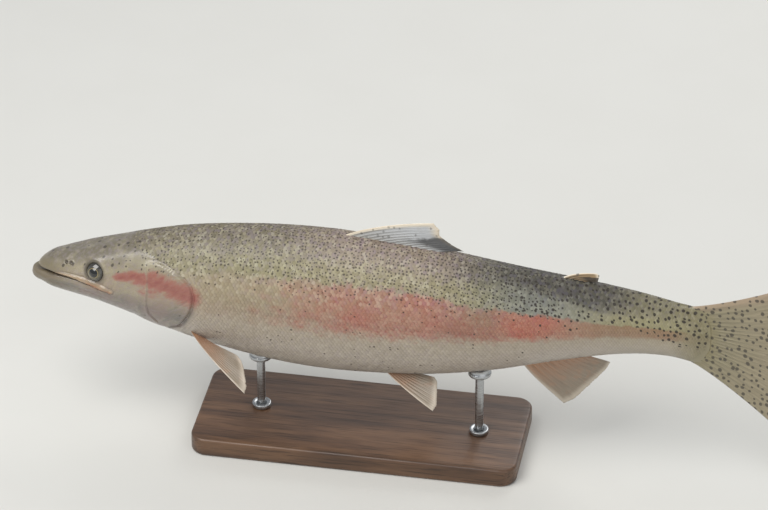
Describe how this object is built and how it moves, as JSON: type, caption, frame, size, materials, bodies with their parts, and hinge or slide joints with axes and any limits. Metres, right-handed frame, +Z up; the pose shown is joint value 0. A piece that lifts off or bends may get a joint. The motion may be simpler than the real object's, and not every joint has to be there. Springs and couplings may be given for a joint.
{
  "type": "rainbow trout display model",
  "caption": "Life-size swimming rainbow trout, a spawning male with a rosy side and a slight hooked jaw, held over a flat base by short rods.",
  "frame": {"origin": "centre of the base's underside, on the floor", "axes": "+X along the fish from its head to its tail, -Y on the fish's left side, +Z up"},
  "size_m": [0.7113, 0.1559, 0.2438],
  "materials": {
    "head_skin": "painted skin, glossy",
    "gill_cover": "painted skin, glossy",
    "trunk_skin": "painted scales, glossy",
    "fin": "painted fin, satin",
    "eye": "painted glass, glossy",
    "wood": "satin varnish",
    "steel": "brushed"
  },
  "bodies": {
    "root": {"head": "head_skin", "lower_jaw": "head_skin", "maxilla_left": "head_skin", "maxilla_right": "head_skin", "gill_cover_left": "gill_cover", "gill_cover_right": "gill_cover", "eye_left": "eye", "eye_right": "eye", "trunk_front": "trunk_skin", "trunk_middle": "trunk_skin", "trunk_rear": "trunk_skin", "tail_stem": "trunk_skin", "dorsal_fin": "fin", "adipose_fin": "fin", "anal_fin": "fin", "tail_fin": "fin", "pectoral_fin_left": "fin", "pectoral_fin_right": "fin", "pelvic_fin_left": "fin", "pelvic_fin_right": "fin", "stand_base": "wood", "stand_rod_front": "steel", "stand_rod_rear": "steel", "stand_collar_front": "steel", "stand_collar_rear": "steel", "stand_saddle_front": "steel", "stand_saddle_rear": "steel"}
  },
  "joints": []
}
